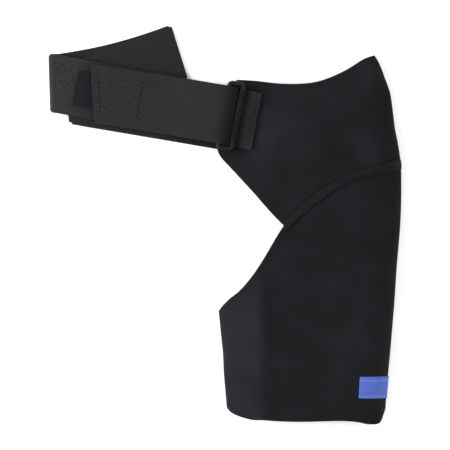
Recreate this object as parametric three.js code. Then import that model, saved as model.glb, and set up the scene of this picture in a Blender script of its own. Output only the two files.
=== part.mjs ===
import * as THREE from 'three';

// Shoulder brace lying flat. Sizes in millimetres, Z up from the surface it rests on.
// Sleeve at the bottom (-Y), cap at the top, strap out to the left (-X).

// Neoprene body
const sleeveWidth = 137;
const sleeveLength = 223;
const sleeveHeight = 34;
const capWidth = 160;
const capHeight = 93;
const capEdgeHeight = 15;
const capFoldHeight = 22;
const neopreneThickness = 3.4;
const seamTapeWidth = 7.8;
const seamTapeThickness = 0.8;

// Strap, ring and tab
const strapWidth = 50;
const strapThickness = 1.8;
const strapRun = 153.5;
const strapLoopRadius = 4;
const strapLoopSlack = 0.5;
const strapEndSlant = 13; // degrees, slant of the free end's cut
const patchHeight = 35;
const patchThickness = 1;
const ringBar = 4;
const ringSpan = 12.3;
const ringSideClearance = 0.95;
const ringCornerRadius = 2.4;
const ringLean = 11.1; // degrees
const tabThickness = 1.2;
const tabLength = 16.6;
const tabShift = 0.5;
const tabDip = 1.6;

// Label
const labelHeight = 18.9;
const labelReach = 0.65; // share of the half width where the label ends, front and back
const labelThickness = 0.6;
const labelPlace = 0.131; // share of the sleeve's length from the hem to the label's middle

// Clearance between two pieces that touch or are sewn together, and between trim and the floor
const pieceGap = 0.3;
const floorGap = 0.05;

// Sleeve's flat outline, left and right edge in shares of half the width, up in shares of the length.
const sleeveEdges = [
  { up: 0, left: -0.996, right: 0.99 },
  { up: 0.094, left: -1.019, right: 1.006 },
  { up: 0.187, left: -1.045, right: 1.032 },
  { up: 0.265, left: -1.057, right: 1.057 },
  { up: 0.343, left: -1.083, right: 1.078 },
  { up: 0.429, left: -1.111, right: 1.102 },
  { up: 0.624, left: -1.172, right: 1.146 },
  { up: 0.741, left: -1.204, right: 1.18 },
  { up: 0.858, left: -1.229, right: 1.197 },
  { up: 1, left: -1.248, right: 1.197 },
];

// Hem line, from the left fold to the right fold.
const hemLine = [
  { across: -1, up: 0.052 },
  { across: -0.96, up: 0.038 },
  { across: -0.85, up: 0.022 },
  { across: -0.65, up: 0.007 },
  { across: -0.35, up: -0.002 },
  { across: 0, up: -0.004 },
  { across: 0.5, up: -0.001 },
  { across: 0.72, up: -0.008 },
  { across: 0.88, up: -0.015 },
  { across: 0.95, up: -0.004 },
  { across: 1, up: 0.045 },
];

// Slanted armpit mouth of the sleeve, from the left fold up to the seam's end.
const mouthLine = [
  { across: -1, up: 0.431 },
  { across: -0.946, up: 0.452 },
  { across: -0.835, up: 0.483 },
  { across: -0.656, up: 0.53 },
  { across: -0.497, up: 0.608 },
  { across: -0.403, up: 0.655 },
  { across: -0.325, up: 0.702 },
  { across: -0.236, up: 0.741 },
  { across: -0.219, up: 0.762 },
];

// Curved seam between sleeve and cap, from the notch to the right fold.
const seamLine = [
  { across: -0.219, up: 0.762 },
  { across: -0.073, up: 0.809 },
  { across: 0.065, up: 0.853 },
  { across: 0.233, up: 0.899 },
  { across: 0.363, up: 0.927 },
  { across: 0.485, up: 0.949 },
  { across: 0.685, up: 0.975 },
  { across: 0.843, up: 0.989 },
  { across: 1, up: 1 },
];

// Cross-section of the lying tube, front over, back under, in shares of half width and height.
const tubeSection = [
  { across: -1, height: 0.27 },
  { across: -0.975, height: 0.43 },
  { across: -0.89, height: 0.6 },
  { across: -0.72, height: 0.77 },
  { across: -0.52, height: 0.92 },
  { across: -0.3, height: 0.985 },
  { across: 0, height: 1 },
  { across: 0.3, height: 0.985 },
  { across: 0.56, height: 0.93 },
  { across: 0.77, height: 0.83 },
  { across: 0.91, height: 0.68 },
  { across: 0.98, height: 0.48 },
  { across: 1, height: 0.29 },
  { across: 0.98, height: 0.11 },
  { across: 0.92, height: 0.02 },
  { across: 0.78, height: 0 },
  { across: 0.4, height: 0 },
  { across: 0, height: 0 },
  { across: -0.4, height: 0 },
  { across: -0.77, height: 0 },
  { across: -0.92, height: 0.02 },
  { across: -0.98, height: 0.1 },
];

// Height of the lying sleeve along its length.
const sleeveHeights = [
  { up: -0.1, height: 0.88 },
  { up: 0.2, height: 0.96 },
  { up: 0.5, height: 1 },
  { up: 0.76, height: 0.97 },
  { up: 1, height: 0.9 },
];

// Cap's free edge on the strap side, from the notch to the neck corner. Measured from the
// seam's end on the right fold, in shares of the cap's width and height.
const capStrapEdge = [
  { across: -0.717, up: -0.416 },
  { across: -0.772, up: -0.304 },
  { across: -0.832, up: -0.192 },
  { across: -0.897, up: -0.079 },
  { across: -0.962, up: 0.033 },
  { across: -0.995, up: 0.107 },
  { across: -1, up: 0.15 },
  { across: -0.984, up: 0.257 },
  { across: -0.946, up: 0.481 },
  { across: -0.913, up: 0.668 },
  { across: -0.891, up: 0.78 },
];

// Cap's neck edge, from the strap side to the peak.
const capNeckEdge = [
  { across: -0.891, up: 0.78 },
  { across: -0.826, up: 0.78 },
  { across: -0.761, up: 0.766 },
  { across: -0.652, up: 0.745 },
  { across: -0.543, up: 0.743 },
  { across: -0.478, up: 0.752 },
  { across: -0.413, up: 0.78 },
  { across: -0.348, up: 0.827 },
  { across: -0.283, up: 0.883 },
  { across: -0.217, up: 0.955 },
  { across: -0.144, up: 1 },
];

// Cap's outer fold, from the seam to the peak.
const capFoldEdge = [
  { across: -0.016, up: 0.182 },
  { across: -0.033, up: 0.332 },
  { across: -0.0435, up: 0.481 },
  { across: -0.06, up: 0.668 },
  { across: -0.076, up: 0.743 },
  { across: -0.109, up: 0.893 },
  { across: -0.144, up: 1 },
];

// Soft dents and swellings of the front layers, in the same shares as the cap's edges.
// Depth is a share of the sleeve's height, reach a share of the cap's width.
const capDents = [
  { across: -0.3, up: 0.03, reach: 0.13, depth: -0.1 },
  { across: -0.17, up: 0.17, reach: 0.11, depth: 0.07 },
  { across: -0.45, up: 0.45, reach: 0.16, depth: -0.06 },
];

// Centres of the strap's turns, measured from its loop in the ring, in shares of the strap's run.
const strapTurns = {
  sewnEnd: { across: 0.169, up: -0.056 },
  lowerLeft: { across: -0.904, up: 0.13 },
  upperRight: { across: -0.2925, up: 0.354 },
  farLeft: { across: -0.982, up: 0.187 },
  ring: { across: 0, up: 0 },
  freeEnd: { across: -0.768, up: 0.1277 },
};

const mix = (a, b, share) => a + (b - a) * share;
const clamp = (value, low, high) => Math.min(high, Math.max(low, value));

function smooth(value) {
  const share = clamp(value, 0, 1);
  return share * share * (3 - 2 * share);
}

/** Reads a column of a table at a key with a curve through the rows. */
function readTable(rows, key, column, at) {
  const last = rows.length - 1;
  let row = 0;
  while (row < last - 1 && at > rows[row + 1][key]) {
    row += 1;
  }
  const slope = (index) => {
    const before = rows[Math.max(index - 1, 0)];
    const after = rows[Math.min(index + 1, last)];
    return (after[column] - before[column]) / (after[key] - before[key]);
  };
  const start = rows[row];
  const end = rows[row + 1];
  const step = end[key] - start[key];
  const t = clamp((at - start[key]) / step, 0, 1);
  const held = start[column] * (1 + 2 * t) * (1 - t) ** 2 + end[column] * t * t * (3 - 2 * t);
  return held + step * (slope(row) * t * (1 - t) ** 2 - slope(row + 1) * t * t * (1 - t));
}

/** Closed body from two matching grids of points, its outer and its inner face. */
function bodyFromFaces(outer, inner, closed) {
  const columns = outer.length;
  const rows = outer[0].length;
  const points = [...outer.flat(), ...inner.flat()];
  const at = (face, i, j) => face * columns * rows + (i % columns) * rows + j;
  const triangles = [];
  const quad = (a, b, c, d) => triangles.push(a, b, c, a, c, d);
  const spans = closed ? columns : columns - 1;
  for (let i = 0; i < spans; i += 1) {
    for (let j = 0; j < rows - 1; j += 1) {
      quad(at(0, i, j), at(0, i + 1, j), at(0, i + 1, j + 1), at(0, i, j + 1));
      quad(at(1, i, j), at(1, i, j + 1), at(1, i + 1, j + 1), at(1, i + 1, j));
    }
    quad(at(0, i, 0), at(1, i, 0), at(1, i + 1, 0), at(0, i + 1, 0));
    const top = rows - 1;
    quad(at(0, i, top), at(0, i + 1, top), at(1, i + 1, top), at(1, i, top));
  }
  if (!closed) {
    const end = columns - 1;
    for (let j = 0; j < rows - 1; j += 1) {
      quad(at(0, 0, j), at(0, 0, j + 1), at(1, 0, j + 1), at(1, 0, j));
      quad(at(0, end, j), at(1, end, j), at(1, end, j + 1), at(0, end, j + 1));
    }
  }
  return outwardGeometry(points, triangles);
}

/** Geometry with its faces turned outward. */
function outwardGeometry(points, triangles) {
  let volume = 0;
  for (let k = 0; k < triangles.length; k += 3) {
    const [a, b, c] = [points[triangles[k]], points[triangles[k + 1]], points[triangles[k + 2]]];
    volume += a.dot(b.clone().cross(c));
  }
  const order = volume < 0 ? triangles.slice().reverse() : triangles;
  const geometry = new THREE.BufferGeometry();
  geometry.setFromPoints(points);
  geometry.setIndex(order);
  geometry.computeVertexNormals();
  return geometry;
}

// Body surface. A place round the tube is "turn": 0 on the left fold, over the front to the
// right fold and back under the brace to 1.

const sectionCurve = new THREE.CatmullRomCurve3(
  tubeSection.map((row) => new THREE.Vector3(row.across * sleeveWidth / 2, 0, row.height * sleeveHeight)),
  true,
  'centripetal',
);

function sectionAt(turn) {
  const point = sectionCurve.getPoint(turn);
  return {
    across: clamp(2 * point.x / sleeveWidth, -1, 1),
    height: Math.max(point.z / sleeveHeight, 0),
  };
}

const rightFoldTurn = 12 / tubeSection.length;
const notchAcross = seamLine[0].across;

function turnAt(across, start, end) {
  let low = start;
  let high = end;
  const rising = sectionAt(end).across > sectionAt(start).across;
  for (let step = 0; step < 50; step += 1) {
    const middle = (low + high) / 2;
    if ((sectionAt(middle).across < across) === rising) {
      low = middle;
    } else {
      high = middle;
    }
  }
  return (low + high) / 2;
}

const frontNotchTurn = turnAt(notchAcross, 0, rightFoldTurn);
const backNotchTurn = turnAt(notchAcross, rightFoldTurn, 1);

function rimUp(across) {
  return across < notchAcross
    ? readTable(mouthLine, 'across', 'up', across)
    : readTable(seamLine, 'across', 'up', across);
}

function sleevePoint(turn, up) {
  const { across, height } = sectionAt(turn);
  const left = readTable(sleeveEdges, 'up', 'left', clamp(up, 0, 1));
  const right = readTable(sleeveEdges, 'up', 'right', clamp(up, 0, 1));
  const x = mix(left, right, (across + 1) / 2) * sleeveWidth / 2;
  const z = height * sleeveHeight * readTable(sleeveHeights, 'up', 'height', up);
  const lift = turn > rightFoldTurn ? restLift(across, height, up) : 0;
  return new THREE.Vector3(x, up * sleeveLength, z + lift);
}

/** Lift of the sleeve's resting face where the seam tape and the label lie under it. */
function restLift(across, height, up) {
  const onFlat = smooth(1 - height / 0.22);
  const fromSeam = (rimUp(across) - up) * sleeveLength / seamTapeWidth;
  const besideSeam = smooth(1 - (notchAcross - across) / 0.15);
  const tapeLift = seamTapeThickness + pieceGap + floorGap;
  const labelLift = labelThickness + pieceGap + floorGap;
  const tape = tapeLift * smooth(1 - (fromSeam - 0.9) / 2) * besideSeam;
  const fromLabel = Math.abs(up - labelPlace) * sleeveLength / labelHeight;
  const nearLabel = smooth(1 - (fromLabel - 0.6) / 0.7) * smooth(1 - (labelReach - 0.05 - across) / 0.15);
  return onFlat * (tape + labelLift * nearLabel);
}

function sleeveGridPoint(turn, share) {
  const { across } = sectionAt(turn);
  return sleevePoint(turn, mix(readTable(hemLine, 'across', 'up', across), rimUp(across), share));
}

const seamEnd = sleevePoint(rightFoldTurn, 1);
const notchPoint = sleevePoint(frontNotchTurn, rimUp(notchAcross));

function capPlace(row) {
  return new THREE.Vector3(seamEnd.x + row.across * capWidth, seamEnd.y + row.up * capHeight, 0);
}

const flatNotch = new THREE.Vector3(notchPoint.x, notchPoint.y, 0);
const flatSeamEnd = new THREE.Vector3(seamEnd.x, seamEnd.y, 0);
const edgeCurve = (points) => new THREE.CatmullRomCurve3(points, false, 'centripetal');
const strapEdgeCurve = edgeCurve([flatNotch, ...capStrapEdge.map(capPlace)]);
const neckEdgeCurve = edgeCurve(capNeckEdge.map(capPlace));
const foldEdgeCurve = edgeCurve([flatSeamEnd, ...capFoldEdge.map(capPlace)]);

/** Point of the cap's outer face, share 0 on the seam and 1 on the neck edge. */
function capPoint(turn, share) {
  const { across, height } = sectionAt(turn);
  const t = clamp((across - notchAcross) / (1 - notchAcross), 0, 1);
  const v = clamp(share, 0, 1);
  const onSeam = sleevePoint(turn, rimUp(Math.max(across, notchAcross)));
  const point = strapEdgeCurve.getPointAt(v).multiplyScalar(1 - t);
  point.addScaledVector(foldEdgeCurve.getPointAt(v), t);
  point.addScaledVector(onSeam, 1 - v);
  point.addScaledVector(neckEdgeCurve.getPointAt(t), v);
  point.addScaledVector(flatNotch, -(1 - t) * (1 - v));
  point.addScaledVector(flatSeamEnd, -t * (1 - v));
  point.addScaledVector(neckEdgeCurve.getPointAt(0), -(1 - t) * v);
  point.addScaledVector(neckEdgeCurve.getPointAt(1), -t * v);
  const seamHeight = sleeveHeight * readTable(sleeveHeights, 'up', 'height', rimUp(across));
  const farHeight = mix(capEdgeHeight, capFoldHeight, smooth((t - 0.2) / 0.8));
  const blend = smooth(v / mix(0.5, 0.9, t));
  const isFront = turn < rightFoldTurn;
  const fade = smooth((1 - t) / 0.12);
  point.z = height * mix(seamHeight, farHeight, blend);
  if (isFront) {
    point.z += capDent(point) * fade * smooth(v / 0.12);
  } else {
    const onFlat = smooth(1 - height / 0.22);
    const strapLift = (strapThickness + pieceGap) * smooth((0.5 - t) / 0.22) * smooth((v - 0.15) / 0.25);
    const tapeLift = (seamTapeThickness + pieceGap + floorGap) * smooth(1 - (v - 0.08) / 0.2);
    point.z += onFlat * (strapLift + tapeLift);
  }
  return point;
}

function capDent(point) {
  let depth = 0;
  for (const dent of capDents) {
    const place = capPlace(dent);
    const away = Math.hypot(point.x - place.x, point.y - place.y) / (dent.reach * capWidth);
    depth += dent.depth * sleeveHeight * Math.exp(-away * away);
  }
  return depth;
}

/** Outward direction of a surface given as a function of turn and share. */
function surfaceNormal(surface, turn, share, direction) {
  const step = 0.002;
  const slip = 0.01 * direction;
  const along = surface(turn + step, share).sub(surface(turn - step, share));
  const up = surface(turn, share + slip).sub(surface(turn, share)).multiplyScalar(direction);
  return up.cross(along).normalize().negate();
}

/** Common direction of both walls where sleeve and cap meet. */
function seamNormal(turn) {
  const below = surfaceNormal(sleeveGridPoint, turn, 1, -1);
  return below.add(surfaceNormal(capPoint, turn, 0, 1)).normalize();
}

/** Share of the cap's height for a distance square to the seam. */
function capShareFor(turn, distance) {
  return distance / squareSpeed(capPoint, turn, 0, 1);
}

/** How fast the surface leaves the seam, square to it, per share. */
function squareSpeed(surface, turn, share, direction) {
  const slip = 0.01;
  const seam = surface(turn, share);
  const away = surface(turn, share + slip * direction).sub(seam).divideScalar(slip);
  const along = surface(turn + 0.003, share).sub(surface(turn - 0.003, share)).normalize();
  return away.addScaledVector(along, -away.dot(along)).length();
}

function spread(start, end, count) {
  return Array.from({ length: count + 1 }, (_, k) => mix(start, end, k / count));
}

const capTurns = [
  ...spread(frontNotchTurn, rightFoldTurn - 0.07, 9),
  ...spread(rightFoldTurn - 0.045, rightFoldTurn + 0.115, 9),
  ...spread(rightFoldTurn + 0.14, backNotchTurn, 8),
];
const mouthTurns = [
  ...spread(backNotchTurn, 0.9, 5).slice(1),
  ...spread(0.92, 1.08, 8),
  ...spread(1.105, 1 + frontNotchTurn, 6).slice(0, -1),
];
const isOnSeam = (turn) => capTurns.includes(turn);

function makeSleeve() {
  const rows = spread(0, 1, 12);
  const outer = [];
  const inner = [];
  for (const turn of [...capTurns, ...mouthTurns]) {
    const place = turn > 1 ? turn - 1 : turn;
    const column = rows.map((share) => sleeveGridPoint(place, share));
    outer.push(column);
    inner.push(column.map((point, j) => {
      const atRim = j === rows.length - 1;
      const own = surfaceNormal(wrapTurn(sleeveGridPoint), place, rows[j], atRim ? -1 : 1);
      const normal = atRim && isOnSeam(turn) ? seamNormal(place) : own;
      return point.clone().addScaledVector(normal, -neopreneThickness);
    }));
  }
  return bodyFromFaces(outer, inner, true);
}

function wrapTurn(surface) {
  return (turn, share) => surface((turn + 1) % 1, share);
}

function capShares(turn) {
  return spread(capShareFor(turn, pieceGap), 1, 12);
}

const capColumn = (turn) => capShares(turn).map((share) => capPoint(turn, share));
const capFront = capTurns.filter((turn) => turn <= rightFoldTurn).map(capColumn);

function makeCap() {
  const outer = [];
  const inner = [];
  for (const turn of capTurns) {
    const shares = capShares(turn);
    const column = capColumn(turn);
    outer.push(column);
    inner.push(column.map((point, j) => {
      const direction = j === shares.length - 1 ? -1 : 1;
      const own = surfaceNormal(clampTurn(capPoint), turn, shares[j], direction);
      const normal = j === 0 ? seamNormal(turn) : own;
      return point.clone().addScaledVector(normal, -neopreneThickness);
    }));
  }
  return bodyFromFaces(outer, inner, false);
}

function clampTurn(surface) {
  return (turn, share) => surface(clamp(turn, frontNotchTurn, backNotchTurn), share);
}

function makeSeamTape() {
  const outer = [];
  const inner = [];
  for (const turn of capTurns) {
    const normal = seamNormal(turn);
    const sleeveShare = seamTapeWidth / 2 / squareSpeed(sleeveGridPoint, turn, 1, -1);
    const capShare = capShareFor(turn, seamTapeWidth / 2);
    const column = [
      sleeveGridPoint(turn, 1 - sleeveShare),
      sleeveGridPoint(turn, 1 - sleeveShare / 2),
      sleeveGridPoint(turn, 1),
      capPoint(turn, capShare / 2),
      capPoint(turn, capShare),
    ];
    inner.push(column.map((point) => point.clone().addScaledVector(normal, pieceGap)));
    const far = pieceGap + seamTapeThickness;
    outer.push(column.map((point) => point.clone().addScaledVector(normal, far)));
  }
  return bodyFromFaces(outer, inner, false);
}

function makeLabel() {
  const half = labelHeight / sleeveLength / 2;
  const ups = spread(labelPlace - half, labelPlace + half, 2);
  const start = turnAt(labelReach, 0, rightFoldTurn);
  const end = turnAt(labelReach, rightFoldTurn, 1);
  const turns = [start, ...capTurns.filter((turn) => turn > start && turn < end), end];
  const outer = [];
  const inner = [];
  for (const turn of turns) {
    const column = ups.map((up) => sleevePoint(turn, up));
    const normals = ups.map((up) => surfaceNormal(sleevePoint, turn, up, 1));
    inner.push(column.map((point, j) => point.clone().addScaledVector(normals[j], pieceGap)));
    const far = pieceGap + labelThickness;
    outer.push(column.map((point, j) => point.clone().addScaledVector(normals[j], far)));
  }
  return bodyFromFaces(outer, inner, false);
}

// Ring. Its long bars lean clockwise from Y; "along" follows them, "aside" points to the cap.

const lean = ringLean * Math.PI / 180;
const along = new THREE.Vector3(Math.sin(lean), Math.cos(lean), 0);
const aside = new THREE.Vector3(Math.cos(lean), -Math.sin(lean), 0);
const ringCentre = capPlace({ across: -0.916, up: 0.45 });
ringCentre.z = capEdgeHeight + 2 * pieceGap + strapThickness + strapLoopRadius - strapThickness / 2;

function ringPlace(asideMm, alongMm) {
  return ringCentre.clone().addScaledVector(aside, asideMm).addScaledVector(along, alongMm);
}

function makeRing() {
  const halfLength = strapWidth / 2 + ringSideClearance + ringBar / 2;
  const halfSpan = ringSpan / 2;
  const corners = [
    { aside: 1, along: 1, start: 0 },
    { aside: -1, along: 1, start: 1 },
    { aside: -1, along: -1, start: 2 },
    { aside: 1, along: -1, start: 3 },
  ];
  const path = [];
  for (const corner of corners) {
    for (const step of spread(0, 1, 4)) {
      const angle = (corner.start + step) * Math.PI / 2;
      const outward = aside.clone().multiplyScalar(Math.cos(angle));
      outward.addScaledVector(along, Math.sin(angle));
      const centre = ringPlace(
        corner.aside * (halfSpan - ringCornerRadius),
        corner.along * (halfLength - ringCornerRadius),
      );
      path.push({ point: centre.addScaledVector(outward, ringCornerRadius), outward });
    }
  }
  const sides = 12;
  const points = [];
  const triangles = [];
  const at = (i, j) => (i % path.length) * sides + (j % sides);
  path.forEach(({ point, outward }, i) => {
    for (let j = 0; j < sides; j += 1) {
      const angle = 2 * Math.PI * j / sides;
      const place = point.clone().addScaledVector(outward, Math.cos(angle) * ringBar / 2);
      place.z += Math.sin(angle) * ringBar / 2;
      points.push(place);
      triangles.push(at(i, j), at(i + 1, j), at(i + 1, j + 1));
      triangles.push(at(i, j), at(i + 1, j + 1), at(i, j + 1));
    }
  });
  return outwardGeometry(points, triangles);
}

/** Height of the cap's front face over a place, from the face's own facets. */
function capTopHeight(x, y) {
  const ray = new THREE.Ray(new THREE.Vector3(x, y, sleeveHeight * 10), new THREE.Vector3(0, 0, -1));
  const hit = new THREE.Vector3();
  let top = null;
  for (let i = 0; i < capFront.length - 1; i += 1) {
    for (let j = 0; j < capFront[i].length - 1; j += 1) {
      const [a, b] = [capFront[i][j], capFront[i + 1][j]];
      const [c, d] = [capFront[i + 1][j + 1], capFront[i][j + 1]];
      for (const [p, q, r] of [[a, b, c], [a, c, d]]) {
        if (ray.intersectTriangle(p, q, r, false, hit)) {
          top = Math.max(top ?? hit.z, hit.z);
        }
      }
    }
  }
  return top;
}

/** Webbing folded round the ring's cap-side bar, both layers sewn down on the cap. */
function makeTab() {
  const hole = ringBar / 2 + pieceGap;
  const roll = hole + tabThickness;
  const flatTop = 2 * tabThickness;
  const dip = roll + tabDip;
  const shape = new THREE.Shape();
  const bottoms = spread(dip, tabLength, 4);
  shape.moveTo(tabLength, flatTop);
  bottoms.slice(0, -1).reverse().forEach((reach) => shape.lineTo(reach, flatTop));
  const rollHeight = ringCentre.z - capEdgeHeight;
  for (const angle of spread(50, 310, 13)) {
    const turn = angle * Math.PI / 180;
    shape.lineTo(Math.cos(turn) * roll, rollHeight + Math.sin(turn) * roll);
  }
  bottoms.forEach((reach) => shape.lineTo(reach, 0));
  shape.closePath();
  const eye = new THREE.Path();
  eye.absarc(0, rollHeight, hole, 0, 2 * Math.PI, true);
  shape.holes.push(eye);
  const geometry = new THREE.ExtrudeGeometry(shape, {
    depth: strapWidth,
    steps: 4,
    bevelEnabled: false,
    curveSegments: 12,
  });
  const place = geometry.getAttribute('position');
  for (let k = 0; k < place.count; k += 1) {
    const reach = place.getX(k);
    const point = ringPlace(ringSpan / 2 + reach, strapWidth / 2 - place.getZ(k) - tabShift);
    const onCap = capTopHeight(point.x, point.y) ?? capEdgeHeight;
    const sewn = smooth((reach - roll * 0.7) / (dip - roll * 0.7));
    const base = mix(capEdgeHeight, onCap + pieceGap, sewn);
    place.setXYZ(k, point.x, point.y, base + place.getY(k));
  }
  geometry.computeVertexNormals();
  return geometry;
}

// Strap. Levels count the layers of the folded stack up from the floor.

const level = (count) => strapThickness / 2 + count * (strapThickness + pieceGap);
const loopCentre = ringPlace(strapLoopRadius - ringSpan / 2 - strapLoopSlack, 0);
const endLevel = level(3) + strapThickness + 3 * pieceGap + 2 * patchThickness;

function strapPlace(turn) {
  return new THREE.Vector3(
    loopCentre.x + turn.across * strapRun,
    loopCentre.y + turn.up * strapRun,
    0,
  );
}

const sewnRise = (share) => mix(level(0), level(2), smooth((share - 0.25) / 0.15));
const ringRise = (share) => mix(level(3), ringCentre.z - strapLoopRadius, smooth((share - 0.53) / 0.36));
const endFall = (share) => mix(ringCentre.z + strapLoopRadius, endLevel, smooth(share / 0.6));

const strapBands = [
  {
    from: 'sewnEnd',
    to: 'lowerLeft',
    height: sewnRise,
    shares: [0, 0.12, 0.25, 0.29, 0.33, 0.36, 0.4, 0.6, 0.9, 1],
  },
  { from: 'lowerLeft', to: 'upperRight', height: () => level(1), shares: [0, 0.2, 0.8, 1] },
  { from: 'upperRight', to: 'farLeft', height: () => level(0), shares: [0, 0.2, 0.8, 1] },
  {
    from: 'farLeft',
    to: 'ring',
    height: ringRise,
    shares: [0, 0.1, 0.3, 0.53, 0.58, 0.63, 0.68, 0.73, 0.78, 0.83, 0.89, 0.95, 1],
  },
  {
    from: 'ring',
    to: 'freeEnd',
    height: endFall,
    shares: [0, 0.07, 0.14, 0.2, 0.27, 0.34, 0.4, 0.47, 0.54, 0.6, 0.8, 1],
  },
];

/** Ends, direction and square direction of a band of the strap. */
function bandLine(band) {
  const start = strapPlace(strapTurns[band.from]);
  const end = strapPlace(strapTurns[band.to]);
  const heading = end.clone().sub(start).normalize();
  return { start, end, heading, square: new THREE.Vector3(-heading.y, heading.x, 0) };
}

/** Outward direction of a turn between two bands, square to its fold line. */
function turnOutward(before, after) {
  return before.heading.clone().sub(after.heading).normalize();
}

/** Ruling across the band along a fold line, as long as the band is wide. */
function foldRuling(outward, line) {
  const ruling = new THREE.Vector3(-outward.y, outward.x, 0);
  return ruling.divideScalar(ruling.dot(line.square));
}

/** Ruling along the slanted cut of the free end. */
function endRuling(line) {
  const slant = Math.tan(THREE.MathUtils.degToRad(strapEndSlant));
  return line.square.clone().addScaledVector(line.heading, -slant);
}

/** Stations along one band. The side says which face of the strap is up. */
function bandStations(index, lines, side) {
  const band = strapBands[index];
  const line = lines[index];
  const rulings = band.shares.map(() => line.square);
  if (index > 0) {
    rulings[0] = foldRuling(turnOutward(lines[index - 1], line), line);
  }
  if (index < strapBands.length - 1) {
    rulings[rulings.length - 1] = foldRuling(turnOutward(line, lines[index + 1]), line);
  } else {
    rulings[rulings.length - 1] = endRuling(line);
  }
  return band.shares.map((share, j) => {
    const centre = line.start.clone().lerp(line.end, share);
    centre.z = band.height(share);
    const ruling = rulings[j].clone().multiplyScalar(side);
    return { centre, ruling, normal: new THREE.Vector3(0, 0, side) };
  });
}

/** Stations round the turn from one band to the next, a half circle about the fold line. */
function turnStations(index, lines, side, ruling) {
  const outward = turnOutward(lines[index], lines[index + 1]);
  const from = strapBands[index].height(1);
  const to = strapBands[index + 1].height(0);
  const radius = Math.abs(from - to) / 2;
  const startUp = Math.sign(from - to);
  const steps = radius > strapThickness ? 8 : 6;
  return spread(0, Math.PI, steps).slice(1, -1).map((angle) => {
    const radial = outward.clone().multiplyScalar(Math.sin(angle));
    radial.z = startUp * Math.cos(angle);
    const centre = lines[index].end.clone().addScaledVector(radial, radius);
    centre.z += (from + to) / 2;
    return { centre, ruling, normal: radial.multiplyScalar(side * startUp) };
  });
}

function makeStrap() {
  const lines = strapBands.map(bandLine);
  const stations = [];
  let side = 1;
  strapBands.forEach((_, index) => {
    stations.push(...bandStations(index, lines, side));
    if (index < strapBands.length - 1) {
      const { ruling } = stations[stations.length - 1];
      stations.push(...turnStations(index, lines, side, ruling));
      side = -side;
    }
  });
  const face = (share) => stations.map(({ centre, ruling, normal }) => {
    const middle = centre.clone().addScaledVector(normal, share * strapThickness / 2);
    return [-1, 0, 1].map((edge) => middle.clone().addScaledVector(ruling, edge * strapWidth / 2));
  });
  return bodyFromFaces(face(1), face(-1), false);
}

/** Flat patch on a band of the strap, between two shares of the band. */
function makePatch(bandIndex, from, to, faceOffset) {
  const band = strapBands[bandIndex];
  const line = bandLine(band);
  const bottom = band.height((from + to) / 2) + faceOffset;
  const faces = [bottom, bottom + patchThickness].map((z) => spread(from, to, 1).map((share) => {
    const centre = line.start.clone().lerp(line.end, share);
    centre.z = z;
    return [-1, 1].map((edge) => centre.clone().addScaledVector(line.square, edge * patchHeight / 2));
  }));
  return bodyFromFaces(faces[1], faces[0], false);
}

function makeMesh(name, geometry, color, roughness, metalness) {
  const material = new THREE.MeshStandardMaterial({ color, roughness, metalness });
  const mesh = new THREE.Mesh(geometry, material);
  mesh.name = name;
  return mesh;
}

const onStrap = strapThickness / 2 + pieceGap;
const underStrap = -strapThickness / 2 - pieceGap - patchThickness;

const brace = new THREE.Group();
brace.name = 'shoulder_brace';
brace.add(
  makeMesh('arm_sleeve', makeSleeve(), 0x242427, 0.9, 0),
  makeMesh('shoulder_cap', makeCap(), 0x252529, 0.9, 0),
  makeMesh('seam_tape', makeSeamTape(), 0x28282b, 0.85, 0),
  makeMesh('anchor_tab', makeTab(), 0x2a2a2b, 0.85, 0),
  makeMesh('strap_ring', makeRing(), 0x1c1c1e, 0.4, 0),
  makeMesh('strap', makeStrap(), 0x343436, 0.85, 0),
  makeMesh('fastening_patch', makePatch(3, 0.122, 0.52, onStrap), 0x232228, 0.95, 0),
  makeMesh('end_patch', makePatch(4, 0.637, 0.944, underStrap), 0x232228, 0.95, 0),
  makeMesh('label', makeLabel(), 0x5d6cb0, 0.7, 0),
);

const box = new THREE.Box3().setFromObject(brace, true);
const middle = box.getCenter(new THREE.Vector3());
for (const mesh of brace.children) {
  mesh.geometry.translate(-middle.x, -middle.y, -box.min.z);
}

export default brace;
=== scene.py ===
"""Black neoprene shoulder brace, lying flat with its elastic strap folded beside it."""
import logging
import math
from collections.abc import Callable, Iterator
from contextlib import contextmanager
from dataclasses import dataclass, field
from enum import Enum
from itertools import accumulate

import bmesh
import bpy
from mathutils import Matrix, Vector
from mathutils.bvhtree import BVHTree


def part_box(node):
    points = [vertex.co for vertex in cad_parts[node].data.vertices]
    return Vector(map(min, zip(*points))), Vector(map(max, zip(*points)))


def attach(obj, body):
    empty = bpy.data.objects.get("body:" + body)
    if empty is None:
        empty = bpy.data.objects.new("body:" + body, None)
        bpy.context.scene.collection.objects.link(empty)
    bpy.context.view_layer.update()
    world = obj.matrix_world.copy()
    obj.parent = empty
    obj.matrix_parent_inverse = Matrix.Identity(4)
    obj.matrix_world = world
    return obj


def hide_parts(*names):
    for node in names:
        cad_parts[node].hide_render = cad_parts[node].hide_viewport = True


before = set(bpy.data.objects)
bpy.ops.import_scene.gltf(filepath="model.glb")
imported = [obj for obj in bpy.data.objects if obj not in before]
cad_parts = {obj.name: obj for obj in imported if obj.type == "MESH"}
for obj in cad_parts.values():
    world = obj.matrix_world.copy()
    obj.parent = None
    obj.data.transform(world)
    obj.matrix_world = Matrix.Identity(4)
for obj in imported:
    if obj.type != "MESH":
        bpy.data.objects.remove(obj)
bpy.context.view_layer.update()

MM = 0.001
PIXEL = 0.87 * MM
LOG = logging.getLogger("shoulder_brace")

Colour = tuple[float, float, float]
Flat = tuple[float, float]
Piece = bpy.types.Object
Material = bpy.types.Material
Socket = bpy.types.NodeSocket
Value = Socket | float


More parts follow.
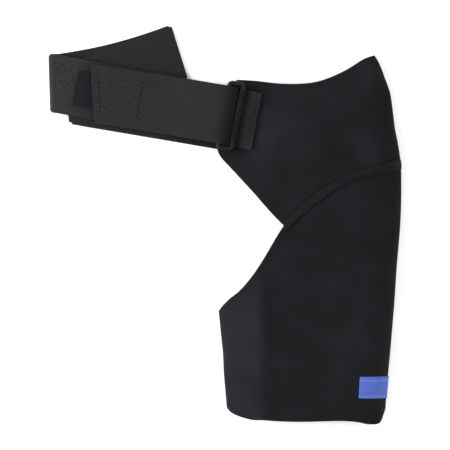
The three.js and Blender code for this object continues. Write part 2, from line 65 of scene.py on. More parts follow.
def from_picture(column: float, row: float) -> Flat:
    """Place on the floor plan of a point of the picture, seen from straight above.

    Args:
        column: Pixels from the left.
        row: Pixels from the top.

    Returns:
        X and Y in metres.
    """
    return (column - 225) * PIXEL, (225 - row) * PIXEL


def smooth(value: float) -> float:
    """Smooth step from 0 to 1."""
    share = min(1.0, max(0.0, value))
    return share * share * (3 - 2 * share)


class Face(Enum):
    """Which way a row of stitches looks."""

    UP = 1
    DOWN = -1


class Weave:
    """Builder of a procedural material out of nodes."""

    def __init__(self, name: str, roughness: float, specular: float) -> None:
        """Start a material.

        Args:
            name: Name of the material.
            roughness: Roughness of the shader.
            specular: Specular level of the shader.
        """
        self.material = bpy.data.materials.new(name)
        self.material.use_nodes = True
        self.tree = self.material.node_tree
        self.shader = self.tree.nodes["Principled BSDF"]
        self.plug(roughness, "Roughness")
        self.plug(specular, "Specular IOR Level")

    def fill(self, value: Value | tuple[float, ...], socket: Socket) -> None:
        """Link a socket to an input, or set the input.

        Args:
            value: Socket, number or tuple.
            socket: The input.
        """
        if isinstance(value, Socket):
            self.tree.links.new(value, socket)
        else:
            socket.default_value = value

    def plug(self, value: Value, name: str) -> None:
        """Link or set an input of the shader."""
        self.fill(value, self.shader.inputs[name])

    def node(self, kind: str, **given: Value | str | tuple[float, ...]) -> bpy.types.Node:
        """Add a node and fill it in.

        Args:
            kind: Type name of the node, after ShaderNode.
            **given: Options in small letters, inputs with a capital and with _ for a blank.

        Returns:
            The node.
        """
        made = self.tree.nodes.new("ShaderNode" + kind)
        for name, value in given.items():
            if name[0].islower():
                setattr(made, name, value)
            else:
                self.fill(value, made.inputs[name.replace("_", " ")])
        return made

    def maths(self, operation: str, *values: Value) -> Socket:
        """Add a maths node.

        Args:
            operation: Operation of the node.
            *values: Numbers or sockets, in order.

        Returns:
            The result's socket.
        """
        made = self.node("Math", operation=operation)
        for socket, value in zip(made.inputs, values):
            self.fill(value, socket)
        return made.outputs[0]

    def times(self, first: Value, second: Value) -> Socket:
        """Product of two values."""
        return self.maths("MULTIPLY", first, second)

    def plus(self, first: Value, second: Value) -> Socket:
        """Sum of two values."""
        return self.maths("ADD", first, second)

    def less(self, first: Value, second: Value) -> Socket:
        """First value less the second."""
        return self.maths("SUBTRACT", first, second)

    def away(self, value: Value, place: float = 0.0) -> Socket:
        """Distance of a value from a place."""
        return self.maths("ABSOLUTE", self.less(value, place) if place else value)

    def ramp(self, value: Value, slope: Value, start: Value) -> Socket:
        """Value times a slope, plus a start."""
        return self.maths("MULTIPLY_ADD", value, slope, start)

    def mixed(self, share: Value, low: Value, high: Value) -> Socket:
        """Mix of two values."""
        return self.ramp(share, self.less(high, low), low)

    def remap(self, value: Value, low: float, high: float) -> Socket:
        """Smoothly remap a value to 0 at low and 1 at high."""
        ends = {"From_Min": low, "From_Max": high}
        return self.node("MapRange", interpolation_type="SMOOTHSTEP", Value=value, **ends).outputs[0]

    def wave(self, value: Value, pitch: float, phase: Value = 0.0) -> Socket:
        """Cosine from 0 to 1 with a pitch in metres and a phase in turns."""
        turns = self.ramp(value, 1 / pitch, phase)
        return self.ramp(self.maths("COSINE", self.times(turns, math.tau)), 0.5, 0.5)

    def noise(self, vector: Socket, scale: float, detail: float = 2.0) -> Socket:
        """Noise from 0 to 1 with a scale per metre."""
        return self.node("TexNoise", Vector=vector, Scale=scale, Detail=detail).outputs["Fac"]

    def cloud(self, vector: Socket, scale: float, detail: float = 2.0) -> Socket:
        """Noise with soft light and dark fields."""
        return self.remap(self.noise(vector, scale, detail), 0.3, 0.7)

    def cells(self, vector: Socket, scale: float) -> Socket:
        """Distance from the nearest of scattered points, with a scale per metre."""
        return self.node("TexVoronoi", Vector=vector, Scale=scale).outputs["Distance"]

    def scaled(self, x: Socket, y: Socket, along: float, across: float) -> Socket:
        """Vector of two values, each with its own scale."""
        flat = {"X": self.times(x, along), "Y": self.times(y, across)}
        return self.node("CombineXYZ", **flat).outputs[0]

    def groove(self, value: Socket, place: float, half: float) -> Socket:
        """Value that is 0 at a place and 1 beyond half a width from it."""
        return self.remap(self.away(value, place), half * 0.3, half)

    def lobe(self, x: Socket, y: Socket, centre: Flat, reach: Flat) -> Socket:
        """Soft spot on the plan, 1 at its centre and 0 beyond its reach.

        Args:
            x: Socket of X in metres.
            y: Socket of Y in metres.
            centre: Centre in pixels of the picture.
            reach: Reach along X and Y in pixels.

        Returns:
            The share's socket.
        """
        middle = from_picture(*centre)
        wide = self.times(self.less(x, middle[0]), 1 / (reach[0] * PIXEL))
        tall = self.times(self.less(y, middle[1]), 1 / (reach[1] * PIXEL))
        square = self.ramp(tall, tall, self.times(wide, wide))
        return self.remap(self.maths("SQRT", square), 1.0, 0.0)

    def curve(self, value: Socket, points: tuple[Flat, ...], end: float) -> Socket:
        """Level along a length, straight between listed places.

        Args:
            value: Place along the length in metres.
            points: Places in metres, each with its level from 0 to 2.
            end: Length in metres.

        Returns:
            The level's socket.
        """
        made = self.node("ValToRGB", Fac=self.maths("DIVIDE", value, end))
        stops = made.color_ramp.elements
        while len(stops) < len(points):
            stops.new(0.5)
        for stop, (place, level) in zip(stops, points):
            stop.position = min(1.0, place / end)
            stop.color = (level / 2, level / 2, level / 2, 1.0)
        return self.times(made.outputs["Color"], 2.0)

    def blend(self, share: Socket, low: Colour | Socket, high: Colour | Socket) -> Socket:
        """Mix two colours.

        Args:
            share: Share of the second colour.
            low: First colour.
            high: Second colour.

        Returns:
            The colour's socket.
        """
        made = self.node("Mix", data_type="RGBA")
        self.fill(share, made.inputs[0])
        for socket, value in ((made.inputs[6], low), (made.inputs[7], high)):
            self.fill(value if isinstance(value, Socket) else (*value, 1.0), socket)
        return made.outputs[2]

    def dimmed(self, colour: Socket, level: Socket) -> Socket:
        """Colour scaled by a level."""
        return self.node("VectorMath", operation="SCALE", Vector=colour, Scale=level).outputs[0]

    def coordinates(self, kind: str = "Object") -> Socket:
        """Object or UV coordinates."""
        return self.node("TexCoord").outputs[kind]

    def axes(self, vector: Socket) -> tuple[Socket, ...]:
        """X, Y and Z of a vector."""
        return tuple(self.node("SeparateXYZ", Vector=vector).outputs)

    def dress(self, colour: Socket, height: Socket, depth: float, strength: float) -> None:
        """Set the shader's colour and relief.

        Args:
            colour: The colour.
            height: Height from 0 to 1.
            depth: Depth of that height in metres.
            strength: Strength of the relief.
        """
        self.plug(colour, "Base Color")
        made = self.node("Bump", Height=height, Distance=depth, Strength=strength)
        self.plug(made.outputs["Normal"], "Normal")

    def sheen(self, weight: float, roughness: float = 0.5) -> None:
        """Set the nap's sheen."""
        self.plug(weight, "Sheen Weight")
        self.plug(roughness, "Sheen Roughness")


@dataclass(frozen=True)
class KnitFinish:
    """Fine jersey on the neoprene's faces, with painted light and painted shade on the plan.

    The strip is painted light down the sleeve's left side. Each field of the list is painted light
    or painted shade, with its centre and its reach in pixels of the picture, and its gain.
    """

    name: str = "neoprene_knit"
    dark: Colour = (0.0041, 0.0040, 0.0047)
    light: Colour = (0.0079, 0.0076, 0.0098)
    course: float = 0.9 * MM
    wale: float = 0.75 * MM
    relief: float = 0.05 * MM
    side_turn: Flat = (0.66, 0.76)
    cloud_scale: float = 32.0
    fleck_scale: float = 1500.0
    painted_light_strip_start: Flat = (256, 255)
    painted_light_strip_end: Flat = (269, 320)
    painted_light_strip_gain: float = 0.43
    soft_fields: tuple[tuple[Flat, Flat, float], ...] = (
        ((268, 136), (58, 40), 0.44),
        ((352, 335), (42, 120), 0.21),
        ((302, 345), (34, 90), -0.07),
        ((370, 74), (24, 28), 0.55),
        ((260, 124), (14, 46), 0.26),
        ((372, 149), (26, 18), 0.14),
        ((306, 92), (62, 22), 0.18),
        ((356, 116), (44, 26), -0.16),
        ((340, 152), (30, 20), -0.18),
        ((392, 300), (14, 120), -0.12),
    )

    def material(self) -> Material:
        """Make the material.

        Returns:
            The material.
        """
        w = Weave(self.name, roughness=0.85, specular=0.05)
        place = w.coordinates()
        x, y, z = w.axes(place)
        facing = w.axes(w.node("NewGeometry").outputs["Normal"])[0]
        side = w.remap(w.away(facing), *self.side_turn)
        girth = w.plus(w.times(x, w.less(1.0, side)), w.times(z, side))
        loops = w.wave(girth, self.wale)
        rows = w.wave(y, self.course, w.away(loops, 0.5))
        stitch = w.times(w.maths("POWER", loops, 0.6), w.ramp(rows, 0.5, 0.5))
        cloud = w.cloud(place, self.cloud_scale, 3.0)
        fleck = w.remap(w.noise(place, self.fleck_scale, 1.0), 0.55, 0.8)
        share = w.plus(w.times(stitch, 0.35), w.times(cloud, 0.45))
        share = w.plus(share, w.times(fleck, 0.25))
        # Painted light: a lighter strip down the sleeve's left side, fading in downwards.
        left, start = from_picture(*self.painted_light_strip_start)
        right, end = from_picture(*self.painted_light_strip_end)
        painted_light_strip = w.times(w.remap(x, right, left), w.remap(y, start, end))
        painted_light_scale = w.ramp(painted_light_strip, self.painted_light_strip_gain, 1.0)
        # Painted light and painted shade: each field lightens or darkens the colour where the faces
        # are lit or shaded.
        for centre, reach, gain in self.soft_fields:
            painted_light_scale = w.ramp(w.lobe(x, y, centre, reach), gain, painted_light_scale)
        shade = w.dimmed(w.blend(share, self.dark, self.light), painted_light_scale)
        w.dress(shade, w.plus(stitch, w.times(fleck, 0.4)), self.relief, 0.6)
        w.sheen(0.015)
        return w.material


@dataclass(frozen=True)
class FoamFinish:
    """Cut edge of the neoprene, fine pores between the two knit faces."""

    name: str = "neoprene_edge"
    dark: Colour = (0.003, 0.003, 0.0033)
    light: Colour = (0.008, 0.008, 0.0086)
    pore_scale: float = 2600.0
    relief: float = 0.08 * MM

    def material(self) -> Material:
        """Make the material.

        Returns:
            The material.
        """
        w = Weave(self.name, roughness=0.8, specular=0.12)
        pores = w.cells(w.coordinates(), self.pore_scale)
        w.dress(w.blend(w.remap(pores, 0.1, 0.7), self.dark, self.light), pores, self.relief, 0.7)
        return w.material


@dataclass(frozen=True)
class ElasticFinish:
    """Ribbed elastic, ribs across the width and plain woven edges.

    It reads the strap's own UV in metres. Its levels set the level of its colour along the length:
    partly each band's own tone, partly painted light at the left fold and painted shade where it
    curves down into the ring.
    """

    length: float
    name: str = "ribbed_elastic"
    dark: Colour = (0.0018, 0.0018, 0.0020)
    light: Colour = (0.0132, 0.0132, 0.0144)
    rib: float = 2.2 * MM
    thread: float = 1.7 * MM
    relief: float = 0.25 * MM
    calm_edge: Flat = (17.0 * MM, 18.2 * MM)
    selvedge: Flat = (22.6 * MM, 23.4 * MM)
    edge_groove: Flat = (17.4 * MM, 0.55 * MM)
    lower_groove: Flat = (-13.2 * MM, 0.5 * MM)
    gloss: float = 0.15
    gloss_full_level: float = 0.8
    levels_with_painted_light: tuple[Flat, ...] = (
        *((0.0, 0.85), (0.265, 0.80), (0.378, 0.78), (0.386, 1.80)),
        *((0.408, 1.74), (0.432, 1.0), (0.545, 0.95), (0.550, 0.45)),
        *((0.556, 0.50), (0.5598, 0.46), (0.5619, 0.41), (0.5638, 0.41)),
        *((0.5659, 0.465), (0.5676, 0.55), (0.5693, 0.645), (0.571, 0.74)),
        *((0.5727, 0.86), (0.575, 0.92), (0.600, 0.86), (0.622, 0.86)),
        *((0.634, 1.04), (0.650, 1.11), (0.676, 1.15)),
    )

    def material(self) -> Material:
        """Make the material.

        Returns:
            The material.
        """
        w = Weave(self.name, roughness=0.8, specular=self.gloss)
        along, across, _ = w.axes(w.coordinates("UV"))
        wander = w.times(w.noise(w.scaled(along, across, 60.0, 25.0), 1.0), 0.7)
        ribs = w.wave(along, self.rib, wander)
        fine = w.wave(along, self.rib / 2, wander)
        column = w.noise(w.scaled(along, across, 480.0, 12.0), 1.0, 1.0)
        picks = w.wave(across, self.thread, w.times(column, 2.2))
        knots = w.cloud(w.scaled(along, across, 760.0, 260.0), 1.0, 1.0)
        patchy = w.cloud(w.scaled(along, across, 150.0, 110.0), 1.0)
        edge = w.away(across)
        body = w.ramp(ribs, 0.3, w.times(fine, 0.06))
        body = w.ramp(w.times(picks, ribs), 0.3, body)
        body = w.ramp(knots, 0.38, body)
        body = w.ramp(w.less(patchy, 0.5), 0.05, body)
        calm = w.mixed(w.remap(edge, *self.calm_edge), 1.0, 0.45)
        body = w.ramp(w.less(body, 0.5), calm, 0.5)
        plain = w.ramp(w.wave(along, 1.1 * MM), 0.2, 0.42)
        body = w.mixed(w.remap(edge, *self.selvedge), body, plain)
        lower = w.ramp(w.groove(across, *self.lower_groove), 0.5, 0.5)
        grooves = w.times(w.groove(edge, *self.edge_groove), lower)
        share = w.times(body, w.ramp(grooves, 0.38, 0.62))
        cloud = w.ramp(w.noise(w.coordinates(), 45.0), 0.24, 0.88)
        # Painted light and painted shade along the length, over each band's own tone.
        level_with_painted_light = w.curve(along, self.levels_with_painted_light, self.length)
        shade = w.blend(w.times(share, 0.84), self.dark, self.light)
        shade = w.dimmed(shade, w.times(level_with_painted_light, cloud))
        # Gloss falls with the painted shade near the ring, so reflection does not lift it.
        w.plug(w.times(w.remap(level_with_painted_light, 0.0, self.gloss_full_level), self.gloss), "Specular IOR Level")
        w.dress(shade, w.times(share, grooves), self.relief, 0.6)
        w.sheen(0.05)
        return w.material


@dataclass(frozen=True)
class WebbingFinish:
    """Flat woven webbing.

    Lean is the turn of its threads clockwise from Y, in degrees. Its levels are painted light and
    painted shade on its colour, at columns of the picture, on the named row, along the lean: a
    painted shadow beside the ring's bar and painted light on the roll just right of it.
    """

    name: str = "flat_webbing"
    dark: Colour = (0.0078, 0.0078, 0.0081)
    light: Colour = (0.0228, 0.0228, 0.0234)
    lean: float = 11.1
    pitch: float = 0.9 * MM
    rib: float = 1.75 * MM
    relief: float = 0.14 * MM
    row: float = 115
    levels_with_painted_light: tuple[Flat, ...] = (
        *((232.0, 0.70), (234.5, 0.50), (236.0, 0.36), (240.0, 0.36)),
        *((241.4, 0.36), (242.2, 0.26), (243.2, 0.26), (244.0, 0.50)),
        *((245.0, 0.69), (246.0, 0.84), (247.0, 1.02), (248.5, 1.08)),
        *((250.0, 0.92), (252.0, 0.84), (255.0, 0.76), (259.0, 0.70)),
    )

    def material(self) -> Material:
        """Make the material.

        Returns:
            The material.
        """
        w = Weave(self.name, roughness=0.8, specular=0.05)
        place = w.coordinates()
        lean = math.radians(self.lean)
        turned = w.node("Mapping", Vector=place, Rotation=(0.0, 0.0, lean))
        x, y, _ = w.axes(turned.outputs[0])
        warp = w.wave(x, self.pitch)
        over = w.ramp(w.times(warp, w.wave(y, self.rib)), 0.6, w.times(warp, 0.4))
        share = w.ramp(w.cloud(place, 60.0, 3.0), 0.4, w.times(over, 0.6))
        # Painted shadow beside the ring's bar and painted light on the roll, as levels across the
        # tab.
        flat_x, flat_y, _ = w.axes(place)
        start, end = self.levels_with_painted_light[0][0], self.levels_with_painted_light[-1][0]
        left, height = from_picture(start, self.row)
        run = w.less(w.ramp(w.less(flat_y, height), -math.tan(lean), flat_x), left)
        points = tuple(((column - start) * PIXEL, level) for column, level in self.levels_with_painted_light)
        painted_light_scale = w.curve(run, points, (end - start) * PIXEL)
        w.dress(w.dimmed(w.blend(share, self.dark, self.light), painted_light_scale), over, self.relief, 0.6)
        w.sheen(0.01)
        return w.material


@dataclass(frozen=True)
class TapeFinish:
    """Cover tape of the seam, ribs along it and slanting threads.

    It reads the tape's own UV in metres. Half is half its width. Its rims carry painted shade
    towards both edges.
    """

    half: float
    name: str = "seam_tape_weave"
    dark: Colour = (0.0022, 0.0022, 0.0027)
    light: Colour = (0.0056, 0.0055, 0.0068)
    rib: float = 1.9 * MM
    thread: float = 1.2 * MM
    relief: float = 0.16 * MM
    rim: Flat = (1.1 * MM, 0.5 * MM)
    rim_painted_shade: float = 0.45

    def material(self) -> Material:
        """Make the material.

        Returns:
            The material.
        """
        w = Weave(self.name, roughness=0.85, specular=0.1)
        along, across, _ = w.axes(w.coordinates("UV"))
        slant = w.wave(w.ramp(across, 0.8, along), self.thread)
        cloth = w.ramp(w.wave(across, self.rib), 0.6, w.times(slant, 0.4))
        cloud = w.cloud(w.coordinates(), 70.0)
        # Painted shade: the tape gets darker towards both of its edges.
        rim = w.remap(w.away(across), *(self.half - depth for depth in self.rim))
        shade = w.blend(w.ramp(cloud, 0.3, w.times(cloth, 0.7)), self.dark, self.light)
        w.dress(w.dimmed(shade, w.ramp(rim, -self.rim_painted_shade, 1.0)), cloth, self.relief, 0.7)
        w.sheen(0.03)
        return w.material


@dataclass(frozen=True)
class NapFinish:
    """Hook-and-loop nap, short and matt, with plain woven borders.

    It reads the patch's own UV in metres. Half is half its height.
    """

    half: float
    name: str = "fastening_nap"
    dark: Colour = (0.0022, 0.0020, 0.0032)
    light: Colour = (0.0060, 0.0057, 0.0088)
    border_tone: Colour = (0.0125, 0.0124, 0.0150)
    border: float = 1.7 * MM
    tuft_scale: float = 900.0
    fuzz_scale: float = 2200.0
    relief: float = 0.35 * MM

    def material(self) -> Material:
        """Make the material.

        Returns:
            The material.
        """
        w = Weave(self.name, roughness=0.92, specular=0.08)
        along, across, _ = w.axes(w.coordinates("UV"))
        place = w.coordinates()
        tufts = w.cells(place, self.tuft_scale)
        fuzz = w.noise(place, self.fuzz_scale, 3.0)
        soft_fields = w.remap(w.noise(w.scaled(along, across, 160.0, 900.0), 1.0), 0.4, 0.75)
        share = w.times(w.remap(tufts, 0.0, 0.8), w.remap(fuzz, 0.3, 0.75))
        share = w.ramp(soft_fields, 0.35, w.times(share, 0.75))
        rim = w.remap(w.away(across), *(self.half - self.border * part for part in (1.15, 0.85)))
        woven = w.wave(along, 0.8 * MM)
        edge_tone = w.blend(woven, self.light, self.border_tone)
        shade = w.blend(rim, w.blend(share, self.dark, self.light), edge_tone)
        pile = w.mixed(rim, w.plus(tufts, fuzz), w.times(woven, 0.3))
        w.dress(shade, pile, self.relief, 0.8)
        w.sheen(0.05, 0.6)
        return w.material


@dataclass(frozen=True)
class PlasticFinish:
    """Moulded black plastic of the ring, satin with fine scuffs."""

    name: str = "moulded_black"
    dark: Colour = (0.0018, 0.0018, 0.0020)
    light: Colour = (0.0036, 0.0036, 0.0039)
    grain_scale: float = 900.0
    scuff_scale: float = 220.0
    relief: float = 0.03 * MM

    def material(self) -> Material:
        """Make the material.

        Returns:
            The material.
        """
        w = Weave(self.name, roughness=0.5, specular=0.14)
        place = w.coordinates()
        scuff = w.remap(w.noise(place, self.scuff_scale, 4.0), 0.55, 0.75)
        w.plug(w.ramp(scuff, 0.12, 0.48), "Roughness")
        shade = w.blend(scuff, self.dark, self.light)
        w.dress(shade, w.noise(place, self.grain_scale, 3.0), self.relief, 0.5)
        return w.material


@dataclass(frozen=True)
class WovenLabelFinish:
    """Plain blue satin label with two lighter lines and fine rows, between low and high Y."""

    low: float
    high: float
    name: str = "label_satin"
    ground: Colour = (0.054, 0.092, 0.335)
    shade: Colour = (0.040, 0.069, 0.27)
    line: Colour = (0.095, 0.145, 0.42)
    line_place: float = 0.72
    line_half: Flat = (0.2 * MM, 0.4 * MM)
    weft: float = 0.42 * MM
    warp: float = 0.5 * MM
    relief: float = 0.08 * MM

    def material(self) -> Material:
        """Make the material.

        Returns:
            The material.
        """
        w = Weave(self.name, roughness=0.65, specular=0.15)
        place = w.coordinates()
        x, y, _ = w.axes(place)
        middle, half = (self.low + self.high) / 2, (self.high - self.low) / 2
        beside = w.away(w.away(y, middle), half * self.line_place)
        border = w.less(1.0, w.remap(beside, *self.line_half))
        cloth = w.ramp(w.wave(y, self.weft), 0.6, w.times(w.wave(x, self.warp), 0.4))
        share = w.ramp(cloth, 0.7, w.times(w.cloud(place, 160.0), 0.3))
        ground = w.blend(share, self.shade, self.ground)
        w.dress(w.blend(border, ground, self.line), w.ramp(border, 0.5, cloth), self.relief, 0.6)
        w.sheen(0.05, 0.4)
        return w.material


@dataclass(frozen=True)
class ThreadFinish:
    """Twisted sewing thread."""

    name: str
    dark: Colour
    light: Colour
    specular: float = 0.3
    twist: float = 0.35 * MM
    relief: float = 0.05 * MM

    def material(self) -> Material:
        """Make the material.

        Returns:
            The material.
        """
        w = Weave(self.name, roughness=0.7, specular=self.specular)
        x, y, _ = w.axes(w.coordinates())
        twist = w.wave(w.plus(x, y), self.twist)
        w.dress(w.blend(twist, self.dark, self.light), twist, self.relief, 0.6)
        return w.material


@dataclass(frozen=True)
class StudioFloorFinish:
    """Plain pale floor."""

    name: str = "studio_floor"
    pale: Colour = (0.86, 0.86, 0.86)
    paler: Colour = (0.90, 0.90, 0.90)

    def material(self) -> Material:
        """Make the material.

        Returns:
            The material.
        """
        w = Weave(self.name, roughness=0.9, specular=0.1)
        w.plug(w.blend(w.noise(w.coordinates(), 3.0), self.pale, self.paler), "Base Color")
        return w.material


class Bench:
    """Hand tools shared by all pieces."""

    @staticmethod
    def pick(piece: Piece) -> None:
        """Select only this piece and make it active.

        Args:
            piece: The piece.
        """
        bpy.ops.object.select_all(action="DESELECT")
        piece.hide_set(False)
        piece.select_set(True)
        bpy.context.view_layer.objects.active = piece

    @staticmethod
    @contextmanager
    def editing(piece: Piece) -> Iterator[None]:
        """Edit mode with all of a piece selected.

        Args:
            piece: The piece.
        """
        Bench.pick(piece)
        bpy.ops.object.mode_set(mode="EDIT")
        bpy.ops.mesh.select_all(action="SELECT")
        yield
        bpy.ops.object.mode_set(mode="OBJECT")

    @staticmethod
    def add(mesh: bpy.types.Mesh, name: str) -> Piece:
        """Make a piece of a mesh.

        Args:
            mesh: The mesh.
            name: Name of the new piece.

        Returns:
            The piece.
        """
        mesh.name = name
        piece = bpy.data.objects.new(name, mesh)
        bpy.context.scene.collection.objects.link(piece)
        return piece

    @staticmethod
    def copy_node(node: str, name: str) -> Piece:
        """Copy a CAD node's mesh into a new piece, merged and with its quads back.

        Args:
            node: Name of the CAD node.
            name: Name of the new piece.

        Returns:
            The piece.
        """
        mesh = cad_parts[node].data.copy()
        mesh.materials.clear()
        piece = Bench.add(mesh, name)
        turn = math.radians(70)
        with Bench.editing(piece):
            bpy.ops.mesh.remove_doubles(threshold=0.01 * MM)
            bpy.ops.mesh.tris_convert_to_quads(face_threshold=turn, shape_threshold=turn)
            bpy.ops.mesh.normals_make_consistent(inside=False)
        return piece

    @staticmethod
    def apply(piece: Piece) -> None:
        """Apply all modifiers of a piece in order.

        Args:
            piece: The piece.
        """
        Bench.pick(piece)
        for modifier in list(piece.modifiers):
            bpy.ops.object.modifier_apply(modifier=modifier.name)

    @staticmethod
    def keep_size(piece: Piece, rounds: int = 3, step: float = 0.8) -> None:
        """Move a piece's points until its subdivided surface passes through their old places.

        Args:
            piece: The piece, with its subdivision not yet applied.
            rounds: Number of corrections.
            step: Share of the miss that each round corrects.
        """
        wanted = [vertex.co.copy() for vertex in piece.data.vertices]
        for _ in range(rounds):
            seen = piece.evaluated_get(bpy.context.evaluated_depsgraph_get())
            reached = [vertex.co.copy() for vertex, _ in zip(seen.data.vertices, wanted)]
            for vertex, goal, place in zip(piece.data.vertices, wanted, reached):
                vertex.co += (goal - place) * step
            piece.data.update()
            bpy.context.view_layer.update()

    @staticmethod
    def hold_edges(piece: Piece, limit: float) -> None:
        """Crease the sharp edges of a piece, so that subdivision keeps them.

        Args:
            piece: The piece.
            limit: Angle in degrees from which an edge is sharp.
        """
        shape = bmesh.new()
        shape.from_mesh(piece.data)
        crease = shape.edges.layers.float.new("crease_edge")
        for edge in shape.edges:
            if edge.calc_face_angle(0.0) > math.radians(limit):
                edge[crease] = 1.0
        shape.to_mesh(piece.data)
        shape.free()

    @staticmethod
    def refine(piece: Piece, levels: int, kept: bool, limit: float = 70.0) -> None:
        """Subdivide a piece.

        Args:
            piece: The piece.
            levels: Levels of subdivision.
            kept: Whether the sharp edges and the size stay.
            limit: Angle in degrees from which an edge is sharp.
        """
        if kept:
            Bench.hold_edges(piece, limit)
        finer = piece.modifiers.new("finer", "SUBSURF")
        finer.levels = levels
        finer.render_levels = levels
        if kept:
            Bench.keep_size(piece)
        Bench.apply(piece)
        piece.data.shade_smooth()

    @staticmethod
    def round_edges(piece: Piece, width: float, limit: float = 48.0) -> None:
        """Round the sharp edges of a piece.

        Args:
            piece: The piece.
            width: Width of the rounding in metres.
            limit: Angle in degrees from which an edge is sharp.
        """
        rounding = piece.modifiers.new("rounding", "BEVEL")
        rounding.width = width
        rounding.segments = 2
        rounding.limit_method = "ANGLE"
        rounding.angle_limit = math.radians(limit)
        Bench.apply(piece)
        piece.data.shade_smooth()

    @staticmethod
    def unwrap(piece: Piece, plan: Callable[[Vector], Flat]) -> None:
        """Give a piece a UV map in metres.

        Args:
            piece: The piece.
            plan: Function from a vertex to its UV.
        """
        sheet = piece.data.uv_layers.active or piece.data.uv_layers.new(name="weave")
        flat = [plan(vertex.co) for vertex in piece.data.vertices]
        for loop in piece.data.loops:
            sheet.data[loop.index].uv = flat[loop.vertex_index]

    @staticmethod
    def dress(piece: Piece, slot: str, materials: list[Material], *nodes: str) -> None:
        """Give a piece its materials, its body and the nodes that it stands for.

        Args:
            piece: The piece.
            slot: Material slot of the record; not used.
            materials: Materials, the first one all over.
            *nodes: CAD nodes that the piece replaces.
        """
        for material in materials:
            piece.data.materials.append(material)
        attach(piece, "root")
        if nodes:
            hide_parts(*nodes)
        LOG.info("%s: %d faces", piece.name, len(piece.data.polygons))

    @staticmethod
    def tree_of(*pieces: Piece) -> BVHTree:
        """Search tree over the faces of pieces.

        Args:
            *pieces: The pieces.

        Returns:
            The tree.
        """
        points: list[Vector] = []
        faces: list[tuple[int, ...]] = []
        for piece in pieces:
            start = len(points)
            points += [vertex.co.copy() for vertex in piece.data.vertices]
            for polygon in piece.data.polygons:
                faces.append(tuple(start + index for index in polygon.vertices))
        return BVHTree.FromPolygons(points, faces)


@dataclass
class Stitching:
    """Rows of thread stitches laid on other pieces.

    Start is the share of the pitch before the first stitch. Above and below are the heights
    from which a stitch drops onto the surface.
    """

    name: str
    length: float
    pitch: float
    radius: float
    start: float = 0.5
    above: float = 0.2
    below: float = -0.05
    places: list[Matrix] = field(default_factory=list)

    def row(self, surface: BVHTree, line: tuple[Flat, ...], face: Face = Face.UP) -> None:
        """Lay a row along a line.

        Args:
            surface: Faces that the row lies on.
            line: Points of the line in pixels of the picture.
            face: Whether the row is on the upper or the under side.
        """
        points = [Vector((*from_picture(*point), 0.0)) for point in line]
        lengths = [(b - a).length for a, b in zip(points, points[1:])]
        count = max(1, round(sum(lengths) / self.pitch))
        for k in range(count):
            left = (k + self.start) / count * sum(lengths)
            index = 0
            while index < len(lengths) - 1 and left > lengths[index]:
                left -= lengths[index]
                index += 1
            heading = (points[index + 1] - points[index]).normalized()
            middle = points[index] + heading * left
            reach = heading * self.length / 2
            ends = [self.drop(surface, place, face) for place in (middle - reach, middle + reach)]
            if None not in ends:
                self.lay(*ends)

    def drop(self, surface: BVHTree, place: Vector, face: Face) -> Vector | None:
        """Drop a point onto the surface.

        Args:
            surface: Faces that it falls on.
            place: The point on the plan.
            face: Whether it falls from above or from below.

        Returns:
            The point on the surface, or None beside it.
        """
        start = Vector((place.x, place.y, self.above if face is Face.UP else self.below))
        hit, _, _, _ = surface.ray_cast(start, Vector((0, 0, -face.value)))
        return None if hit is None else hit + Vector((0, 0, face.value * self.radius * 0.25))

    def lay(self, first: Vector, last: Vector) -> None:
        """Lay one stitch, unless a step in the surface lies between its ends.

        Args:
            first: First end.
            last: Last end.
        """
        along = last - first
        if along.length <= 2.5 * self.length:
            turn = along.to_track_quat("X", "Z").to_matrix().to_4x4()
            size = Matrix.Diagonal((along.length / 2, self.radius * 1.25, self.radius, 1.0))
            self.places.append(Matrix.Translation((first + last) / 2) @ turn @ size)

    def build(self, finish: ThreadFinish, slot: str) -> None:
        """Make the mesh of all stitches, each a copy of one modelled stitch.

        Args:
            finish: Finish of the thread.
            slot: Material slot of the record; not used.
        """
        bpy.ops.object.select_all(action="DESELECT")
        bpy.ops.mesh.primitive_uv_sphere_add(
            segments=8, ring_count=5, radius=1.0, rotation=(0, math.pi / 2, 0)
        )
        stitch = bpy.context.object
        bpy.ops.object.transform_apply(location=True, rotation=True, scale=True)
        joined = bmesh.new()
        for place in self.places:
            start = len(joined.verts)
            joined.from_mesh(stitch.data)
            joined.verts.ensure_lookup_table()
            bmesh.ops.transform(joined, matrix=place, verts=joined.verts[start:])
        mesh = bpy.data.meshes.new(self.name)
        joined.to_mesh(mesh)
        joined.free()
        bpy.data.objects.remove(stitch)
        mesh.shade_smooth()
        Bench.dress(Bench.add(mesh, self.name), slot, [finish.material()])


@dataclass(frozen=True)
class Fade:
    """Soft change from 0 at a start to 1 at a signed reach from it, in metres."""

    start: float
    reach: float

    def at(self, place: float) -> float:
        """Share at a place."""
        return smooth((place - self.start) / self.reach)


@dataclass(frozen=True)
class Dent:
    """Soft dent or swelling.

    Its place is in pixels of the picture, its reach and lift in metres. With a crest over 1
    its middle is level.
    """

    place: Flat
    reach: float
    lift: float
    crest: float = 1.0

    def at(self, point: Vector) -> float:
        """Lift at a point, both in metres."""
        x, y = from_picture(*self.place)
        return self.lift * smooth(self.crest - math.hypot(point.x - x, point.y - y) / self.reach)


